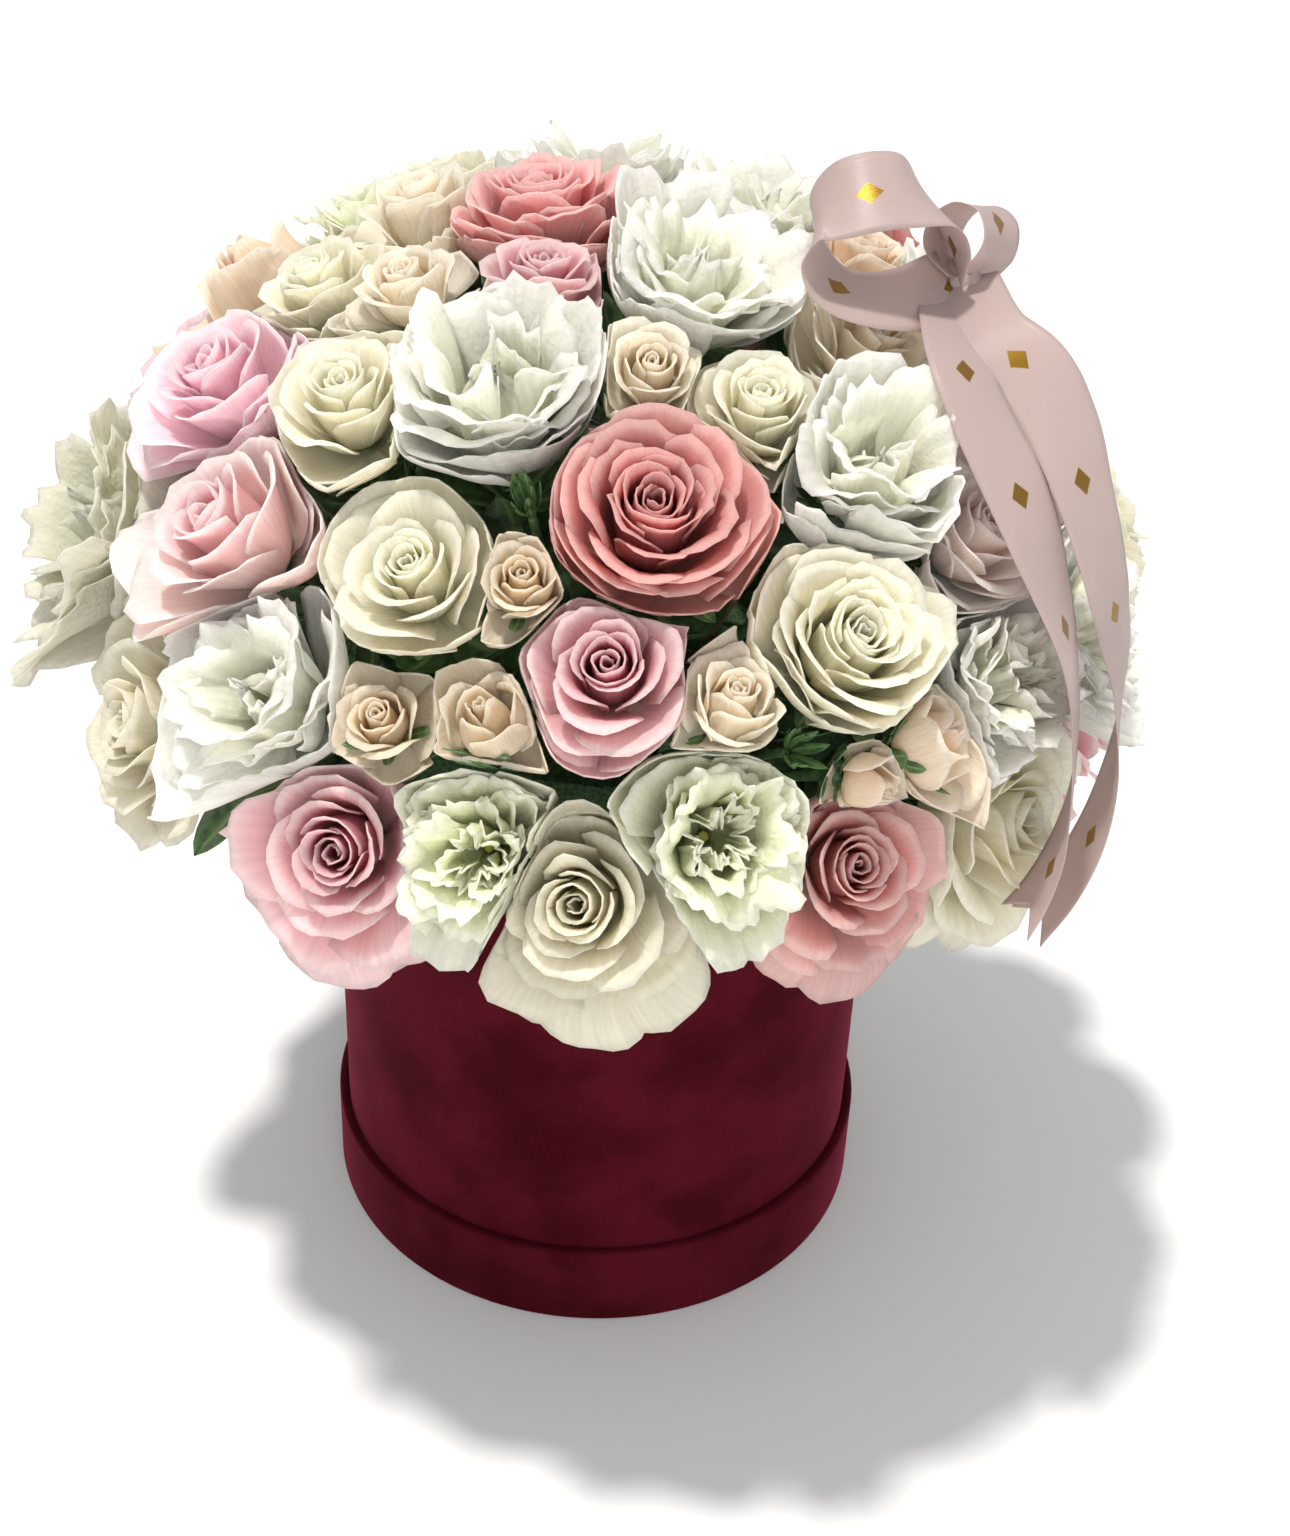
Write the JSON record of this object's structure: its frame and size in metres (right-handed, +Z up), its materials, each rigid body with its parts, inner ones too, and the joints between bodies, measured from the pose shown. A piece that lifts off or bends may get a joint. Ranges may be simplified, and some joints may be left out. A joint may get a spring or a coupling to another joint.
{
  "type": "flower hat box",
  "caption": "Round velvet hat box standing in its own lid, with a dome of roses, spray roses and lisianthus in wet foam and a satin ribbon on a pick.",
  "frame": {"origin": "middle of the underside of the lid, on the surface that the box stands on", "axes": "+Z up along the axis of the round box, front of the arrangement towards -Y, the ribbon towards +X"},
  "size_m": [0.3985, 0.3816, 0.4341],
  "materials": {
    "velvet": "short-pile velvet",
    "clear_plastic": "thin waterproof sheet",
    "floral_foam": "wet open-cell foam",
    "satin_ribbon": "satin weave with small gold foil marks",
    "wood": "plain split wood",
    "leaf": "living leaf and stem",
    "peach_petal": "soft petal",
    "cream_petal": "soft petal",
    "lisianthus_petal": "soft ruffled petal",
    "dusky_petal": "soft petal",
    "pink_petal": "soft petal",
    "salmon_petal": "soft petal",
    "white_petal": "soft petal"
  },
  "bodies": {
    "root": {"box_body": "velvet", "box_lid": "velvet", "liner": "clear_plastic", "foam": "floral_foam", "ribbon": "satin_ribbon", "ribbon_pick": "wood", "leaves_front": "leaf", "leaves_right": "leaf", "spray_buds_right": "peach_petal", "spray_peach_left": "peach_petal", "spray_peach_ribbon": "peach_petal", "spray_front": "cream_petal", "spray_cream_right": "cream_petal", "spray_cream_upper": "cream_petal", "spray_top_left": "cream_petal", "lisianthus_upper": "lisianthus_petal", "lisianthus_top": "lisianthus_petal", "lisianthus_right": "lisianthus_petal", "lisianthus_low_left": "lisianthus_petal", "lisianthus_low_right": "lisianthus_petal", "lisianthus_left": "lisianthus_petal", "lisianthus_far_left": "lisianthus_petal", "lisianthus_far_right": "lisianthus_petal", "lisianthus_crown": "lisianthus_petal", "lisianthus_crown_left": "lisianthus_petal", "lisianthus_back_high": "lisianthus_petal", "lisianthus_back_right": "lisianthus_petal", "lisianthus_back_left": "lisianthus_petal", "rose_dusky_front": "dusky_petal", "rose_dusky_top": "dusky_petal", "rose_dusky_back_high": "dusky_petal", "rose_pink_top": "pink_petal", "rose_pink_front": "pink_petal", "rose_pink_low_left": "pink_petal", "rose_pink_left": "pink_petal", "rose_pink_side_left": "pink_petal", "rose_pink_side_right": "pink_petal", "rose_pink_back": "pink_petal", "rose_pink_back_low": "pink_petal", "rose_bright_left": "pink_petal", "rose_bright_back_left": "pink_petal", "rose_salmon_low_right": "salmon_petal", "rose_salmon_back_low": "salmon_petal", "rose_blush_right": "salmon_petal", "rose_blush_side_right": "salmon_petal", "rose_white_upper_left": "white_petal", "rose_white_middle": "white_petal", "rose_white_open": "white_petal", "rose_white_low": "white_petal", "rose_cream_upper": "white_petal", "rose_cream_ribbon": "white_petal", "rose_white_low_left": "white_petal", "rose_white_low_right": "white_petal", "rose_white_back_left": "white_petal", "rose_white_back_high": "white_petal", "rose_white_back_right": "white_petal", "rose_white_back": "white_petal", "rose_white_back_low_right": "white_petal", "rose_white_back_low": "white_petal", "rose_white_back_low_left": "white_petal"}
  },
  "joints": []
}
